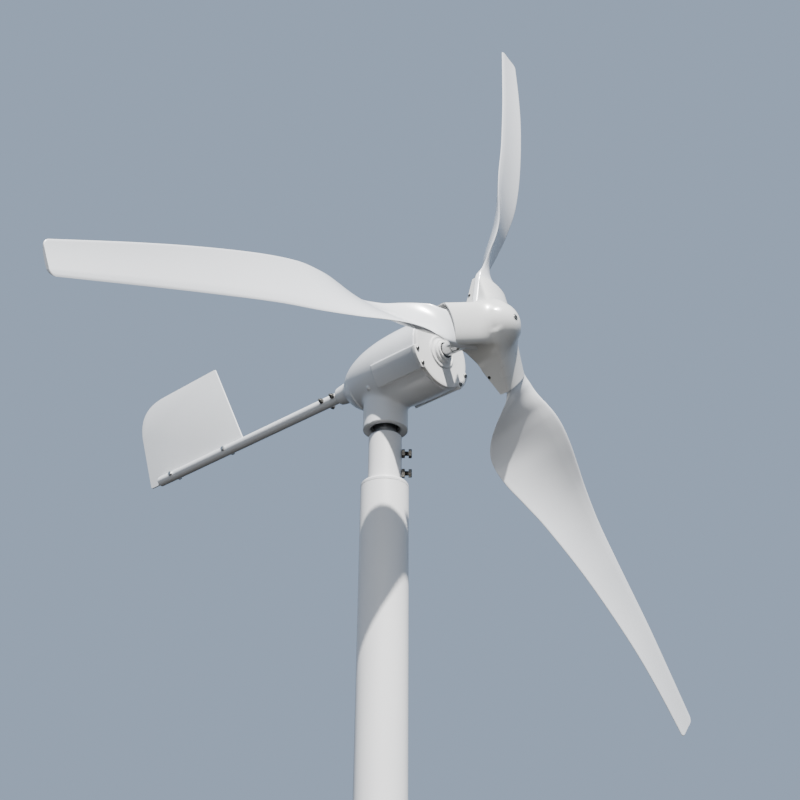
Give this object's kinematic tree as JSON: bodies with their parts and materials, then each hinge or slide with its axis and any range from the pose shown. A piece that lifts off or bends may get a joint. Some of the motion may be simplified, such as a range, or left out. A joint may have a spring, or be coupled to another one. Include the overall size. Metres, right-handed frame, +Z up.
{
  "type": "small wind turbine",
  "caption": "Small horizontal-axis wind turbine: twisted blades on a three-armed nose cone, egg-shaped generator body, tail vane on a tube, and a clamp sleeve on a tubular mast.",
  "frame": {"origin": "centre of the mast tube's lower end", "axes": "+Z up the mast; the rotor faces -Y and turns about a level line along Y one metre up; the tail vane trails towards +Y"},
  "size_m": [1.2898, 0.9822, 1.7359],
  "materials": {
    "white_paint": "gloss powder coat",
    "white_moulding": "gloss",
    "nose_shell": "semi gloss",
    "machined_alloy": "machined",
    "dark_steel": "black oxide",
    "zinc_steel": "zinc plated",
    "ground_steel": "ground",
    "bearing_ball": "polished",
    "core_iron": "stacked laminations",
    "copper_winding": "enamelled copper wire",
    "brass_ring": "polished",
    "magnet": "nickel plated",
    "carbon": "carbon",
    "seal_rubber": "matt",
    "insulator": "moulded"
  },
  "bodies": {
    "mast": {"mast_pole": "white_paint", "pole_top_collar": "white_paint", "stub_pipe": "machined_alloy", "mounting_sleeve": "white_paint", "sleeve_clamp_bolts": "dark_steel", "sleeve_lock_nuts": "dark_steel", "yaw_spindle": "ground_steel", "yaw_inner_spacer": "ground_steel", "yaw_bearing_inner_races": "ground_steel", "yaw_bearing_balls": "bearing_ball", "spindle_lock_nut": "zinc_steel", "slip_ring_core": "insulator", "slip_rings": "brass_ring"},
    "yaw_head": {"nacelle_body": "white_paint", "front_cover": "white_paint", "cover_screws": "dark_steel", "stator_core": "core_iron", "stator_windings": "copper_winding", "yaw_bearing_outer_races": "ground_steel", "yaw_outer_spacer": "ground_steel", "yaw_retaining_ring": "zinc_steel", "shaft_bearing_outer_races": "ground_steel", "rear_bearing_plate": "machined_alloy", "shaft_seal": "seal_rubber", "brush_holder": "insulator", "carbon_brushes": "carbon", "tail_boom": "white_paint", "boom_bolts": "dark_steel", "boom_nuts": "dark_steel", "tail_vane": "white_moulding", "vane_bolts": "zinc_steel", "vane_nuts": "zinc_steel"},
    "rotor": {"main_shaft": "ground_steel", "magnet_rotor_core": "core_iron", "rotor_magnets": "magnet", "shaft_bearing_inner_races": "ground_steel", "shaft_bearing_balls": "bearing_ball", "shaft_spacer": "ground_steel", "hub_plate": "machined_alloy", "hub_clamp_plate": "machined_alloy", "blade_1": "white_moulding", "blade_2": "white_moulding", "blade_3": "white_moulding", "blade_bolts": "zinc_steel", "blade_nuts": "zinc_steel", "shaft_washer": "zinc_steel", "shaft_nut": "zinc_steel", "nose_cone": "nose_shell", "nose_screw": "dark_steel"}
  },
  "joints": [
    {"name": "yaw", "type": "hinge", "parent": "mast", "child": "yaw_head", "pos_m": [0, 0, 0.9], "axis": [0, 0, 1], "continuous": true},
    {"name": "rotor_spin", "type": "hinge", "parent": "yaw_head", "child": "rotor", "pos_m": [0, -0.17, 1], "axis": [0, -1, 0], "continuous": true}
  ]
}
